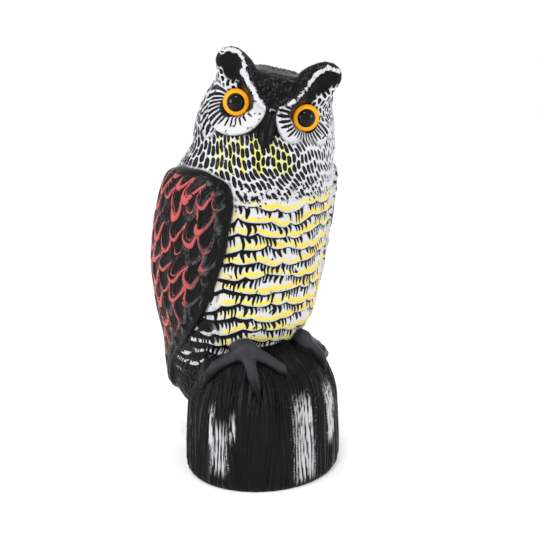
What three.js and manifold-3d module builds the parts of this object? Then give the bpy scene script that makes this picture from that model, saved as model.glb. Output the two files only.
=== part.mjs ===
// Owl decoy: a great horned owl perched on a bark stump, hollow-moulded in black plastic, with
// two press-in plastic eyes. Millimetres, +Z up. The bird's breast faces -Y and its right side
// is -X. The origin is the middle of the stump's flat underside.
import * as THREE from 'three';
import { mergeVertices } from 'three/addons/utils/BufferGeometryUtils.js';
import Module from 'manifold-3d';

const wasm = await Module();
wasm.setup();

// Height of the whole figure. Pose, proportions and carving are shares of it: the profiles and
// places below are drawn for a figure of DRAWN_HEIGHT.
const OWL_HEIGHT = 400;
const DRAWN_HEIGHT = 400;

// Stump
const STUMP_WIDTH = 156;
const STUMP_DEPTH = 142;
const FLUTE_COUNT = 27;
const FLUTE_DEPTH = 1.6;

// Rows of feathers on the breast and neck
const BREAST_ROWS = 12;
const BREAST_FEATHERS_ACROSS = 7;
const BREAST_LIP = 2.2;
const BREAST_SCALLOP = 3.4;
const NECK_ROWS = 6;
const NECK_KNURL = 1;

// Wings and tail
const WING_THICKNESS = 5;
const WING_ROWS = 8;
const WING_LIP = 2;
const WING_SCALLOP = 7;
const TAIL_RIB_DEPTH = 1.4;

// Feet
const TOE_RADIUS = 6.2;
const KNUCKLE_LIFT = 13;

// Head: turned to the bird's right and rolled towards its own left shoulder, in degrees
const HEAD_TURN = -40;
const HEAD_ROLL = 12.5;
const DISC_RADIUS = 29;
const DISC_RIM = 3;
const DISC_RIBS = 15;
const DISC_RIB_DEPTH = 1.1;
const BROW_RADIUS = 3.6;
const BEAK_LENGTH = 32;
const BEAK_WIDTH = 16;
const BEAK_PROJECTION = 13;

// Eyes: an amber ring round a raised black pupil, on a stem pressed into the head
const PUPIL_DIAMETER = 15.6;
const PUPIL_RISE = 4.2;
const IRIS_WIDTH = 4.2;
const IRIS_RISE = 2.4;
const EYE_FLANGE = 3;
const EYE_STEM_DIAMETER = 11;
const EYE_STEM_LENGTH = 6;
const EYE_SPACING = 64;
const EYE_SINK = 1.5;
const EYE_SPLAY = 12;
const EYE_CLEARANCE = 0.3;

const BLACK_PLASTIC = { color: 0x1c1c1d, roughness: 0.45, metalness: 0 };
const EYE_PLASTIC = { color: 0xf59b12, roughness: 0.15, metalness: 0 };

const size = OWL_HEIGHT / DRAWN_HEIGHT;
const eyeRadius = PUPIL_DIAMETER / 2 + IRIS_WIDTH;
const turn = Math.PI * 2;
const radians = THREE.MathUtils.degToRad;
const sides = [-1, 1];

// Stump: height, half width and half depth as shares of the largest, centre y.
const STUMP_PROFILE = [
  [0, 0.96, 0.955, 0],
  [3, 0.985, 0.98, 0],
  [9, 1, 1, 0],
  [68, 0.97, 0.97, 0],
  [80, 0.94, 0.94, 0],
  [93, 0.885, 0.88, 0],
  [105, 0.81, 0.8, 1],
  [114, 0.73, 0.71, 3],
  [122, 0.6, 0.57, 5],
  [129, 0.42, 0.38, 7],
  [134, 0.2, 0.16, 9],
];
const STUMP_RINGS = [0, 3, 9, 68, 85, 100, 113, 123, 134];

// Body and neck: height, half width, half depth, centre x, centre y, turn in degrees.
const BODY_PROFILE = [
  [44, 26, 18, 0, 58, 0],
  [48, 37, 26, 0, 60, 0],
  [58, 46, 34, 0, 62, 0],
  [72, 53, 42, 0, 62, 0],
  [95, 58, 49, 0, 58, 0],
  [118, 63, 58, 0, 49, 0],
  [130, 67, 65, 0, 43, 0],
  [152, 74, 73, -0.5, 37.5, 0],
  [170, 77.5, 75, -1, 35.3, 0],
  [200, 81, 76, -1.5, 33.8, 0],
  [235, 82, 75.5, -1.5, 28.3, 0],
  [262, 80, 74, -2, 21, -5],
  [282, 77, 70.5, -3, 13.5, -15],
  [300, 70.5, 65.5, -2.8, 5, -27],
  [318, 65, 60, 0.2, -1, -35],
  [334, 57, 51, 2, -1, -40],
  [346, 44, 38, 3, -1, -40],
];
const RUMP_RINGS = [44, 48, 58, 72, 95, 112];
const BREAST_LOW = 123;
const BREAST_HIGH = 284;
const NECK_HIGH = 334;
const FRONT_ARC = 140;

// Edges of a folded wing: height, then the angles from the breast to its front and rear edge.
const WING_EDGES = [
  [62, 114, 130],
  [75, 107, 144],
  [95, 99, 154],
  [125, 83, 161],
  [149, 70, 166],
  [170, 60, 168],
  [190, 54, 169],
  [210, 49, 168],
  [232, 46, 165],
  [262, 46, 158],
  [278, 48, 150],
  [290, 55, 139],
  [299, 68, 120],
];

// Tail: height, half width, half depth, centre y.
const TAIL_PROFILE = [
  [36, 15, 6, 92],
  [40, 21, 9, 93],
  [70, 26, 12, 97],
  [105, 29, 14, 100],
  [140, 30, 15, 99],
  [178, 24, 14, 94],
];

// Toes run from a knuckle that stands over the stump's shoulder down the stump. A joint is its
// angle from the front, its height, how proud of the stump it lies, and its share of the thickness.
const RIGHT_FOOT = {
  knuckle: [-52, 119, -2],
  toes: [
    [[-70, 121, 5, 1], [-82, 114, 4, 0.95], [-89, 105, 2.5, 0.8], [-95, 93, 0, 0.3]],
    [[-47, 120, 6, 0.95], [-44, 110, 4, 0.9], [-42, 101, 3, 0.75], [-40, 91, 0, 0.3]],
    [[-31, 122, 5, 0.95], [-18, 114, 4, 0.85], [-13, 108, 0.5, 0.3]],
  ],
};
const LEFT_FOOT = {
  knuckle: [34, 116, -9],
  toes: [
    [[36, 119, 3, 1.05], [34, 113, 3.5, 1], [33, 109, 3, 0.8], [34, 101, 0, 0.3]],
    [[56, 112, 1.5, 0.9], [70, 103, 2, 0.8], [78, 90, 0, 0.3]],
    [[76, 110, 1.5, 0.85], [92, 102, 2, 0.8], [102, 89, 0, 0.3]],
  ],
};
const LEG_REACH = [0, 16, 2];

// Head, in its own frame: height above the eyes, half width, and the front and back of the skin
// measured out of the plane of the eyes.
const FACE_CENTRE = [-27.5, -43.8, 351];
const HEAD_PROFILE = [
  [-46, 63.5, 0, -108],
  [-30, 64, 2, -107],
  [-15, 62.5, 3, -106],
  [0, 59, 2, -104],
  [11, 54.5, -1, -98],
  [20, 52.5, -4, -88],
  [27, 47, -9, -76],
  [31, 37, -17, -64],
  [32.5, 19, -28, -52],
];

// Ear tuft: height, centre across, half width, half depth, centre out of the face. The hand-made
// original's tufts stand at different heights and distances from the middle.
const EAR_PROFILE = [
  [8, 36.5, 13, 14, -26],
  [20, 34, 18, 13, -22],
  [31, 37, 18.5, 11, -19],
  [38, 39.5, 15.5, 8.5, -17],
  [43, 41.5, 10.5, 5.5, -16],
  [45.5, 42, 6, 3, -16],
];
const EAR_LIFT = { [-1]: -1, [1]: 4 };
const EAR_SPREAD = { [-1]: 0.7, [1]: -1.3 };
const EAR_HOLLOW = { across: 43, out: -4, up: 28, width: 14, depth: 9.5, height: 14.5, turn: 12 };

// Brow ridge from the beak's root to the tip of an ear tuft: across, out, up, share of its radius.
const BROW_ROUTE = [
  [4, 5, 2, 0.7],
  [12, 2.5, 8, 1],
  [19, -2, 14.5, 1.15],
  [25, -6, 22, 1.15],
  [29, -8.5, 30, 1],
  [34, -10, 37.5, 0.95],
  [41, -12, 43, 0.6],
];

// Face disc from the eye to its rim: share of the radius, and how proud it lies as a share of the rim.
const DISC_PROFILE = [
  [0.42, -0.33],
  [0.55, 0.2],
  [0.78, 0.75],
  [0.94, 1],
  [1, 0.85],
];
const DISC_ROOT = -5;

// Beak from its root to its tip: shares of its length, width and projection.
const BEAK_PROFILE = [
  [0.04, 0.1, -0.2],
  [-0.02, 0.38, 0.25],
  [-0.28, 0.75, 0.62],
  [-0.55, 1, 0.9],
  [-0.8, 0.82, 1],
  [-0.95, 0.45, 0.9],
  [-1, 0.12, 0.72],
];
const BEAK_FULLNESS = 0.8;
const BEAK_ROOT_DEPTH = 12;

// Values of a table's columns at a height, on a cubic that doesn't overshoot between its rows.
function tableAt(table, height) {
  const last = table.length - 1;
  const at = THREE.MathUtils.clamp(height, table[0][0], table[last][0]);
  let i = 0;
  while (i < last - 1 && table[i + 1][0] < at) i += 1;
  const rate = (row, column) => (table[row + 1][column] - table[row][column]) / (table[row + 1][0] - table[row][0]);
  const slope = (row, column) => {
    if (row === 0 || row === last) return 0;
    const [before, after] = [rate(row - 1, column), rate(row, column)];
    return before * after > 0 ? (2 * before * after) / (before + after) : 0;
  };
  const span = table[i + 1][0] - table[i][0];
  const u = (at - table[i][0]) / span;
  return table[i].slice(1).map((value, k) => {
    const rise = table[i + 1][k + 1] - value;
    const start = slope(i, k + 1) * span;
    const end = slope(i + 1, k + 1) * span;
    return value + start * u + (3 * rise - 2 * start - end) * u ** 2 + (start + end - 2 * rise) * u ** 3;
  });
}

const around = (count, make) => Array.from({ length: count }, (_, j) => make(turn * j / count, j));
const scaled = ([x, y, z]) => new THREE.Vector3(x, y, z).multiplyScalar(size);

// A closed solid from a closed geometry.
function solidOf(geometry) {
  const bare = geometry.clone();
  bare.deleteAttribute('normal');
  bare.deleteAttribute('uv');
  const merged = mergeVertices(bare, 1e-4);
  return new wasm.Manifold(new wasm.Mesh({
    numProp: 3,
    vertProperties: Float32Array.from(merged.attributes.position.array),
    triVerts: Uint32Array.from(merged.index.array),
  }));
}

function geometryOf(solid) {
  const mesh = solid.getMesh();
  const geometry = new THREE.BufferGeometry();
  geometry.setAttribute('position', new THREE.BufferAttribute(mesh.vertProperties, mesh.numProp));
  geometry.setIndex(Array.from(mesh.triVerts));
  geometry.computeVertexNormals();
  return geometry;
}

// A solid skin over rings of equal length, from the lowest to the highest, closed by a fan at each
// end. A ring runs anticlockwise seen from above. Of the two diagonals between four corners the
// one that stands further out is taken, so that ridges stay sharp.
function loft(rings) {
  const count = rings[0].length;
  const points = rings.flat();
  const triangles = [];
  for (let row = 0; row < rings.length - 1; row += 1) {
    for (let j = 0; j < count; j += 1) {
      const [a, b] = [row * count + j, row * count + (j + 1) % count];
      const [c, d] = [b + count, a + count];
      const outward = points[c].clone().sub(points[a]).cross(points[d].clone().sub(points[b]));
      const rise = points[a].clone().add(points[c]).sub(points[b]).sub(points[d]);
      if (rise.dot(outward) >= 0) triangles.push(a, b, c, a, c, d);
      else triangles.push(a, b, d, b, c, d);
    }
  }
  const middle = (ring) => ring.reduce((sum, p) => sum.add(p), new THREE.Vector3()).divideScalar(count);
  const bottom = points.push(middle(rings[0])) - 1;
  const top = points.push(middle(rings.at(-1))) - 1;
  const topRow = (rings.length - 1) * count;
  for (let j = 0; j < count; j += 1) {
    const next = (j + 1) % count;
    triangles.push(bottom, next, j, top, topRow + j, topRow + next);
  }
  const geometry = new THREE.BufferGeometry().setFromPoints(points);
  geometry.setIndex(triangles);
  return solidOf(geometry);
}

// A round bar through points that each have their own radius, closed at both ends.
function bar(points, radii, barSides) {
  const up = new THREE.Vector3(0, 0, 1);
  const last = points.length - 1;
  return loft(points.map((point, i) => {
    const along = points[Math.min(i + 1, last)].clone().sub(points[Math.max(i - 1, 0)]).normalize();
    const aside = new THREE.Vector3().crossVectors(up, along).normalize();
    const over = new THREE.Vector3().crossVectors(along, aside);
    return around(barSides, (angle) => point.clone()
      .addScaledVector(aside, radii[i] * Math.cos(angle))
      .addScaledVector(over, radii[i] * Math.sin(angle)));
  }));
}

const join = (solids) => solids.reduce((whole, solid) => whole.add(solid));

// How far a feather's edge hangs below the line of its row: round tips, with the notches of one
// row over the tips of the next.
function scallop(column, row, columnsAFeather, depth) {
  const phase = column / columnsAFeather + (row % 2) / 2;
  return -depth * Math.abs(Math.sin(Math.PI * phase)) ** 0.7;
}

// Stump surface at an angle from the front and a height, some way proud of it.
function stumpPoint(angle, height, proud = 0) {
  const [width, depth, y] = tableAt(STUMP_PROFILE, height);
  return new THREE.Vector3(
    (width * STUMP_WIDTH / 2 + proud) * Math.sin(angle),
    y * size - (depth * STUMP_DEPTH / 2 + proud) * Math.cos(angle),
    height * size,
  );
}

function stump() {
  const CLOSED_SHARE = 0.3;
  return loft(STUMP_RINGS.map((height, row) => {
    const isEdge = row < 2 || row === STUMP_RINGS.length - 1;
    const groove = FLUTE_DEPTH * (isEdge ? CLOSED_SHARE : 1);
    return around(2 * FLUTE_COUNT, (angle, j) => stumpPoint(angle, height, j % 2 ? -groove : 0));
  }));
}

// Body surface at an angle from the breast and a height. Above the shoulders the breast turns with
// the head, and a wing, which doesn't, is placed by its angle from the front.
function bodyPoint(angle, height, proud = 0, turnsWithHead = true) {
  const [a, b, x, y, degrees] = tableAt(BODY_PROFILE, height);
  const yaw = radians(degrees);
  const local = turnsWithHead ? angle : angle - yaw;
  return new THREE.Vector3((a * size + proud) * Math.sin(local), -(b * size + proud) * Math.cos(local), 0)
    .applyAxisAngle(new THREE.Vector3(0, 0, 1), yaw)
    .add(scaled([x, y, height]));
}

function body() {
  const COLUMNS_A_FEATHER = 4;
  const BACK_COLUMNS = 12;
  const LIP_UNDERSIDE = 1.8;
  const frontColumns = BREAST_FEATHERS_ACROSS * COLUMNS_A_FEATHER;
  const front = radians(FRONT_ARC);
  const angles = [
    ...Array.from({ length: frontColumns }, (_, j) => front * (j / frontColumns - 0.5)),
    ...Array.from({ length: BACK_COLUMNS }, (_, j) => front / 2 + (turn - front) * j / BACK_COLUMNS),
  ];
  const ring = (height, dropOf, proudOf) => angles.map((angle, column) => (column < frontColumns
    ? bodyPoint(angle, height + dropOf(column), proudOf(column))
    : bodyPoint(angle, height)));
  const rings = RUMP_RINGS.map((height) => ring(height, () => 0, () => 0));
  const breastPitch = (BREAST_HIGH - BREAST_LOW) / BREAST_ROWS;
  for (let row = 0; row < BREAST_ROWS; row += 1) {
    const lip = BREAST_LOW + row * breastPitch;
    const drop = (column) => scallop(column, row, COLUMNS_A_FEATHER, BREAST_SCALLOP);
    rings.push(ring(lip - LIP_UNDERSIDE, drop, () => 0), ring(lip, drop, () => BREAST_LIP));
  }
  const neckPitch = (NECK_HIGH - BREAST_HIGH) / NECK_ROWS;
  for (let row = 0; row <= NECK_ROWS; row += 1) {
    const knurl = (column) => ((row + column) % 2 ? -NECK_KNURL : NECK_KNURL);
    rings.push(ring(BREAST_HIGH + row * neckPitch, () => 0, knurl));
  }
  return loft(rings);
}

// A folded wing: a raised shell on the body, with a smooth band along its front edge and rows of
// overlapping feathers behind it.
function wing(side) {
  const COLUMNS = 13;
  const COLUMNS_A_FEATHER = 4;
  const ROOT = -4;
  const LIP_UNDERSIDE = 2;
  const RIM_SHARE = 0.55;
  const END_SHARE = 0.35;
  const low = WING_EDGES[0][0];
  const high = WING_EDGES.at(-1)[0];
  const pitch = (high - low) / WING_ROWS;
  const pointAt = (share, height, proud) => {
    const level = THREE.MathUtils.clamp(height, low, high);
    const [front, rear] = tableAt(WING_EDGES, level);
    return bodyPoint(side * radians(THREE.MathUtils.lerp(front, rear, share)), level, proud, false);
  };
  const levels = Array.from({ length: WING_ROWS }, (_, row) => {
    const lip = low + row * pitch;
    return [{ row, height: lip, lip: 0 }, { row, height: lip + LIP_UNDERSIDE, lip: WING_LIP }];
  }).flat();
  levels.push({ row: WING_ROWS, height: high, lip: 0 });
  return loft(levels.map(({ row, height, lip }, index) => {
    const isEnd = index === 0 || index === levels.length - 1;
    const thickness = WING_THICKNESS * (isEnd ? END_SHARE : 1);
    const outer = Array.from({ length: COLUMNS + 1 }, (_, j) => {
      const isRim = j === 0 || j === COLUMNS;
      const isBand = isEnd || isRim || j === 1;
      const drop = isBand ? 0 : scallop(j - 1, row, COLUMNS_A_FEATHER, WING_SCALLOP) + WING_SCALLOP / 2;
      const proud = isRim ? thickness * RIM_SHARE : thickness + (isBand ? 0 : lip);
      return pointAt(j / COLUMNS, height + drop, proud);
    });
    const inner = [1, 0.75, 0.25, 0].map((share) => pointAt(share, height, ROOT));
    const ring = [...outer, ...inner];
    return side < 0 ? ring.reverse() : ring;
  }));
}

function tail() {
  const RIBS = 10;
  return loft(TAIL_PROFILE.map(([height, a, b, y]) => around(2 * RIBS, (angle, j) => {
    const groove = j % 2 ? TAIL_RIB_DEPTH : 0;
    return scaled([0, y, height]).add(new THREE.Vector3(
      (a * size - groove) * Math.sin(angle),
      -(b * size - groove) * Math.cos(angle),
      0,
    ));
  })));
}

function foot({ knuckle, toes }) {
  const TOE_SIDES = 7;
  const BALL_SHARE = 1.35;
  const place = ([angle, height, proud]) => stumpPoint(radians(angle), height, proud * size);
  const top = place(knuckle).add(new THREE.Vector3(0, 0, KNUCKLE_LIFT * size));
  const ball = new THREE.SphereGeometry(BALL_SHARE * TOE_RADIUS, 10, 7);
  ball.scale(1, 1, KNUCKLE_LIFT * size / TOE_RADIUS / BALL_SHARE);
  ball.translate(top.x, top.y, top.z - KNUCKLE_LIFT * size / 3);
  const leg = bar([top.clone().add(scaled(LEG_REACH)), top], [1.4, 1.2].map((share) => share * TOE_RADIUS), TOE_SIDES);
  const bars = toes.map((joints) => bar(
    [top, ...joints.map(place)],
    [1.1, ...joints.map((joint) => joint[3])].map((share) => share * TOE_RADIUS),
    TOE_SIDES,
  ));
  return join([solidOf(ball), leg, ...bars]);
}

// The head's frame has its origin midway between the eyes: x to the bird's left, -y out of the
// face, z up the head.
const headMatrix = new THREE.Matrix4()
  .makeTranslation(...scaled(FACE_CENTRE))
  .multiply(new THREE.Matrix4().makeRotationZ(radians(HEAD_TURN)))
  .multiply(new THREE.Matrix4().makeRotationY(radians(HEAD_ROLL)));
const inHead = (across, out, up) => new THREE.Vector3(across, -out, up).applyMatrix4(headMatrix);

// Skin of the head at an angle from the middle of the face and a height above the eyes.
function headPoint(angle, up, proud = 0) {
  const [a, front, back] = tableAt(HEAD_PROFILE, up);
  const middle = (front + back) / 2 * size;
  const half = (front - back) / 2 * size;
  return inHead((a * size + proud) * Math.sin(angle), middle + (half + proud) * Math.cos(angle), up * size);
}

function skull() {
  return loft(HEAD_PROFILE.map(([up]) => around(26, (angle) => headPoint(angle, up))));
}

function ear(side) {
  return loft(EAR_PROFILE.map(([up, across, a, b, out]) => around(12, (angle) => inHead(
    (side * (across + EAR_SPREAD[side]) + a * Math.sin(angle)) * size,
    (out + b * Math.cos(angle)) * size,
    (up + EAR_LIFT[side]) * size,
  ))));
}

function earHollow(side) {
  const hollow = new THREE.SphereGeometry(size, 10, 8);
  hollow.scale(EAR_HOLLOW.width, EAR_HOLLOW.depth, EAR_HOLLOW.height);
  hollow.rotateZ(radians(side * EAR_HOLLOW.turn));
  const across = side * (EAR_HOLLOW.across + EAR_SPREAD[side]);
  hollow.translate(...scaled([across, -EAR_HOLLOW.out, EAR_HOLLOW.up + EAR_LIFT[side]]));
  return solidOf(hollow.applyMatrix4(headMatrix));
}

function brow(side) {
  const last = BROW_ROUTE.length - 1;
  const points = BROW_ROUTE.map(([across, out, up], i) => {
    const lift = EAR_LIFT[side] * (i / last) ** 2;
    return inHead(side * across * size, out * size, (up + lift) * size);
  });
  return bar(points, BROW_ROUTE.map((stop) => stop[3] * BROW_RADIUS), 7);
}

function beak() {
  return loft(BEAK_PROFILE.toReversed().map(([down, width, out]) => around(12, (angle) => {
    const facing = Math.cos(angle);
    const reach = facing > 0 ? out * BEAK_PROJECTION * facing ** BEAK_FULLNESS : BEAK_ROOT_DEPTH * size * facing;
    return inHead(width * BEAK_WIDTH / 2 * Math.sin(angle), reach, down * BEAK_LENGTH);
  })));
}

// An eye looks out of the skin of the head, splayed a little to its own side.
const headHalfWidth = tableAt(HEAD_PROFILE, 0)[0] * size;
const eyeAngle = Math.asin(EYE_SPACING / 2 / headHalfWidth);

function eyeMatrix(side) {
  const seat = headPoint(side * eyeAngle, 0, -EYE_SINK);
  return new THREE.Matrix4()
    .makeTranslation(...seat)
    .multiply(new THREE.Matrix4().makeRotationZ(radians(HEAD_TURN)))
    .multiply(new THREE.Matrix4().makeRotationY(radians(HEAD_ROLL)))
    .multiply(new THREE.Matrix4().makeRotationZ(radians(side * EYE_SPLAY)))
    .multiply(new THREE.Matrix4().makeRotationX(Math.PI));
}

// A disc of stiff feathers round an eye, ribbed outwards from it. Its rim stands proud below the
// eye and sinks into the head above it.
function faceDisc(side) {
  const RIBBED_RINGS = [1, 2];
  const pointAt = (radius, angle, proud) => headPoint(
    side * eyeAngle + radius * Math.cos(angle) / headHalfWidth,
    radius * Math.sin(angle) / size,
    proud,
  );
  const rings = DISC_PROFILE.map(([share, rise], index) => around(2 * DISC_RIBS, (angle, j) => {
    const rib = RIBBED_RINGS.includes(index) && j % 2 ? DISC_RIB_DEPTH : 0;
    const below = THREE.MathUtils.smoothstep(-Math.sin(angle), -0.5, 0.3);
    const proud = THREE.MathUtils.lerp(-DISC_RIM, rise * DISC_RIM - rib, below);
    return pointAt(share * DISC_RADIUS, angle, proud);
  }));
  const root = around(2 * DISC_RIBS, (angle) => pointAt(DISC_RADIUS, angle, DISC_ROOT));
  return loft([root, ...rings.reverse()]);
}

// Back of an eye from its axis to the edge of its flange, grown by a clearance for the socket.
function eyeBack(grow) {
  const stem = EYE_STEM_DIAMETER / 2 + grow;
  const flangeBack = -EYE_FLANGE - grow;
  return [
    [0, flangeBack - EYE_STEM_LENGTH],
    [stem, flangeBack - EYE_STEM_LENGTH],
    [stem, flangeBack],
    [eyeRadius + grow, flangeBack],
    [eyeRadius + grow, 0],
  ];
}

function turned(profile, side) {
  const geometry = new THREE.LatheGeometry(profile.map(([x, y]) => new THREE.Vector2(x, y)), 18);
  return geometry.applyMatrix4(eyeMatrix(side));
}

function eye(side) {
  const EDGE_ROUND = 0.6;
  const PUPIL_CURVE = [[1, 0], [0.93, 0.42], [0.7, 0.76], [0.38, 0.95], [0, 1]];
  const pupil = PUPIL_CURVE.map(([x, y]) => [x * PUPIL_DIAMETER / 2, IRIS_RISE + y * PUPIL_RISE]);
  return turned([...eyeBack(0), [eyeRadius - EDGE_ROUND, EDGE_ROUND], ...pupil], side);
}

// The socket seats the eye and opens out in front of it.
function socket(side) {
  const MOUTH_DEPTH = 14;
  const MOUTH_FLARE = 5;
  const mouth = [[eyeRadius + MOUTH_FLARE, MOUTH_DEPTH], [0, MOUTH_DEPTH]];
  return solidOf(turned([...eyeBack(EYE_CLEARANCE), ...mouth], side));
}

const bird = join([
  stump(),
  body(),
  ...sides.map(wing),
  tail(),
  foot(RIGHT_FOOT),
  foot(LEFT_FOOT),
  skull(),
  ...sides.map(ear),
  ...sides.map(faceDisc),
  ...sides.map(brow),
  beak(),
]);
const owlSolid = [...sides.map(earHollow), ...sides.map(socket)].reduce((rest, cut) => rest.subtract(cut), bird);

function named(name, geometry, material) {
  const mesh = new THREE.Mesh(geometry, new THREE.MeshStandardMaterial(material));
  mesh.name = name;
  return mesh;
}

const decoy = new THREE.Group();
decoy.add(
  named('owl', geometryOf(owlSolid), BLACK_PLASTIC),
  named('right_eye', eye(-1), EYE_PLASTIC),
  named('left_eye', eye(1), EYE_PLASTIC),
);

export default decoy;
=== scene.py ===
import bpy
import numpy as np
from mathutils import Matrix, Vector


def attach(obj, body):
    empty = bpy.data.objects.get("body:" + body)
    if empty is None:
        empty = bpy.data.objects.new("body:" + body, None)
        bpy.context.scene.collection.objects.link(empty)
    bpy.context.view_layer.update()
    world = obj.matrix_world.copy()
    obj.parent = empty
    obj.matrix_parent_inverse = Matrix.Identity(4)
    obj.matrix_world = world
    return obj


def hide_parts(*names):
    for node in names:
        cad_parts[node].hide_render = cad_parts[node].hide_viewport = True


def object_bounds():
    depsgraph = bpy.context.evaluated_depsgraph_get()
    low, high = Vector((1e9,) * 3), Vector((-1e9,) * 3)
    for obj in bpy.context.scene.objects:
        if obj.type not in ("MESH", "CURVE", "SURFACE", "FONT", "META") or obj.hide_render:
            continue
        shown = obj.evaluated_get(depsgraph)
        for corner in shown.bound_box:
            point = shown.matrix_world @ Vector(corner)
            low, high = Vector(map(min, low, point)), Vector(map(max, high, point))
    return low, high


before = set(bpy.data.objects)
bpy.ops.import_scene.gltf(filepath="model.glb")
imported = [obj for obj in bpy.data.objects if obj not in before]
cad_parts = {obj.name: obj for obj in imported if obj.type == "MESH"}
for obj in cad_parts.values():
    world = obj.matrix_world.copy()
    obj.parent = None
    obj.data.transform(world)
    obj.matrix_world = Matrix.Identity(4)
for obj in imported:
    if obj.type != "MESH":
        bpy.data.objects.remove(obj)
cad_box = [list(corner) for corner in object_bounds()]

# Owl decoy of black moulded plastic with brushed paint and two press-in eyes. The skin of the owl
# is the zero surface of a distance field in millimetres, worked out from the same profiles as the
# solids, with the carving added to it. Each carved pattern is one function of its place on the
# skin, which gives the relief as numbers and the paint as material nodes.
MM = 0.001

# A distance beyond all others. It is a decimal, so that arrays filled with it hold decimals.
FAR = 99.0

# Camera: direction in degrees, place in millimetres, shift in widths of the picture
CAMERA_AZIMUTH = -40
CAMERA_DISTANCE = 950
CAMERA_HEIGHT = 450
AIM_HEIGHT = 195.5
LENS = 69.13
SENSOR_WIDTH = 36
AXIS_SHIFT = 7 / 540

# Floor and lights, in metres. A light is its turn from the camera, elevation, distance, size and
# power.
FLOOR_REACH = 6
LIGHT_AIM = 0.22
LIGHTS = {
    "left_softbox": (-62, 14, 1.5, (0.6, 0.6), 12),
    "right_softbox": (62, 14, 1.5, (0.54, 0.6), 9),
    "top_softbox": (-16, 60, 1.6, (0.26, 0.18), 7),
}
WORLD_STRENGTH = 1.03

# Mesh: spacing of the field's samples, faces kept, room round the solids' box, and how far beyond
# its own heights a part of the owl is still worked out
SAMPLE_STEP = 1.05
SKIN_TRIANGLES = 194000
BOX_MARGIN = 6
PART_MARGIN = 20

# Stump
STUMP_WIDTH = 156
STUMP_DEPTH = 142
STUMP_TOP = 136
FLUTES = 104
FLUTE_DEPTH = 1.9

# Rows of feathers on the breast, and the staggered lens feathers of the neck
BREAST_LOW = 123
BREAST_HIGH = 284
BREAST_ROWS = 12
BREAST_PITCH = (BREAST_HIGH - BREAST_LOW) / BREAST_ROWS
BREAST_LIP = 2.1
BREAST_SCALLOP = 4.6
BREAST_WAVE = 4
NECK_LOW = 273
BREAST_FEATHER = 23
BARB_PITCH = 4.1
BARB_LENGTH = 10.5
BARB_DEPTH = 0.7
BODY_GIRTH = 490
GIRTH_PER_RADIAN = BODY_GIRTH / (2 * np.pi)
LENS_COLUMNS = 98
LENS_WIDTH = BODY_GIRTH / LENS_COLUMNS
LENS_LENGTH = 10.6

# Wings
WING_THICKNESS = 5
WING_FEATHER_WIDTH = 17
WING_FEATHER_PITCH = 19
WING_FEATHER_DROP = 14
WING_FEATHER_TILT = 0.32
WING_LIP = 1.9
WING_HATCH = 0.35
WING_START = 60

# Tail
TAIL_RIB_PITCH = 8.5
TAIL_RIB_DEPTH = 1.3

# Feet: the ball, the leg and a toe's root as shares of a toe's radius, a claw of its toe's end
TOE_RADIUS = 6.2
KNUCKLE_SHARE = 1.35
LEG_SHARES = (1.4, 1.2)
ROOT_SHARE = 1.1
CLAW_SHARE = 0.72
KNUCKLE_LIFT = 13

# Head
HEAD_TURN = -40
HEAD_ROLL = 12.5
FACE_CENTRE = (-27.5, -43.8, 351)
CROWN_DEPTH = 0.9
BROW_RADIUS = 3.6
BEAK_LENGTH = 32
BEAK_WIDTH = 16
BEAK_PROJECTION = 13

# Face discs, with -1 for the bird's right side and 1 for its left. The dark rays round an eye have
# a number in a full turn, a reach in disc radii and a half width in pitches, each of these two
# below the eye, beside the beak and at the temple. RAY_CROWDING is how much closer they stand
# towards the temple, WHISKERS the turns in degrees between which they are long and bent, and LASH
# how far the dark ring round the eye widens there.
DISC_RADIUS = 29
DISC_RIM = 3
RAY_DEPTH = 0.8
DISC_RAYS = {-1: 23, 1: 36}
RAY_REACH = {-1: (0.8, 0.74, 1.5), 1: (0.78, 1, 0.95)}
RAY_SHARES = {-1: (0.24, 0.17, 0.34), 1: (0.33, 0.33, 0.32)}
RAY_CROWDING = {-1: 0.3, 1: -0.25}
WHISKERS = {-1: (24, 124), 1: (58, 86)}
LASH = {-1: 3.5, 1: 1}

# Eyes and their sockets
PUPIL_DIAMETER = 15.6
PUPIL_RISE = 4.2
IRIS_WIDTH = 4.2
IRIS_RISE = 2.4
EYE_FLANGE = 3
EYE_STEM_DIAMETER = 11
EYE_STEM_LENGTH = 6
EYE_SPACING = 64
EYE_SINK = 1.5
EYE_SPLAY = 12
EYE_CLEARANCE = 0.3
EYE_SIDES = 72
EYE_RADIUS = PUPIL_DIAMETER / 2 + IRIS_WIDTH
SOCKET_FLARE = 0.36
SOCKET_FLARE_REACH = 14

# Stump: height, half width and half depth as shares of the largest, centre y.
STUMP_PROFILE = [
    [0, 0.96, 0.955, 0], [3, 0.985, 0.98, 0], [9, 1, 1, 0], [68, 0.97, 0.97, 0],
    [80, 0.94, 0.94, 0], [93, 0.885, 0.88, 0], [105, 0.81, 0.8, 1], [114, 0.73, 0.71, 3],
    [122, 0.6, 0.57, 5], [129, 0.42, 0.38, 7], [134, 0.2, 0.16, 9],
]

# Body and neck: height, half width, half depth, centre x, centre y, turn in degrees.
BODY_PROFILE = [
    [44, 26, 18, 0, 58, 0], [48, 37, 26, 0, 60, 0], [58, 46, 34, 0, 62, 0],
    [72, 53, 42, 0, 62, 0], [95, 58, 49, 0, 58, 0], [118, 63, 58, 0, 49, 0],
    [130, 67, 65, 0, 43, 0], [152, 74, 73, -0.5, 37.5, 0], [170, 77.5, 75, -1, 35.3, 0],
    [200, 81, 76, -1.5, 33.8, 0], [235, 82, 75.5, -1.5, 28.3, 0], [262, 80, 74, -2, 21, -5],
    [282, 77, 70.5, -3, 13.5, -15], [300, 70.5, 65.5, -2.8, 5, -27], [318, 65, 60, 0.2, -1, -35],
    [334, 57, 51, 2, -1, -40], [346, 44, 38, 3, -1, -40],
]

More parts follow.
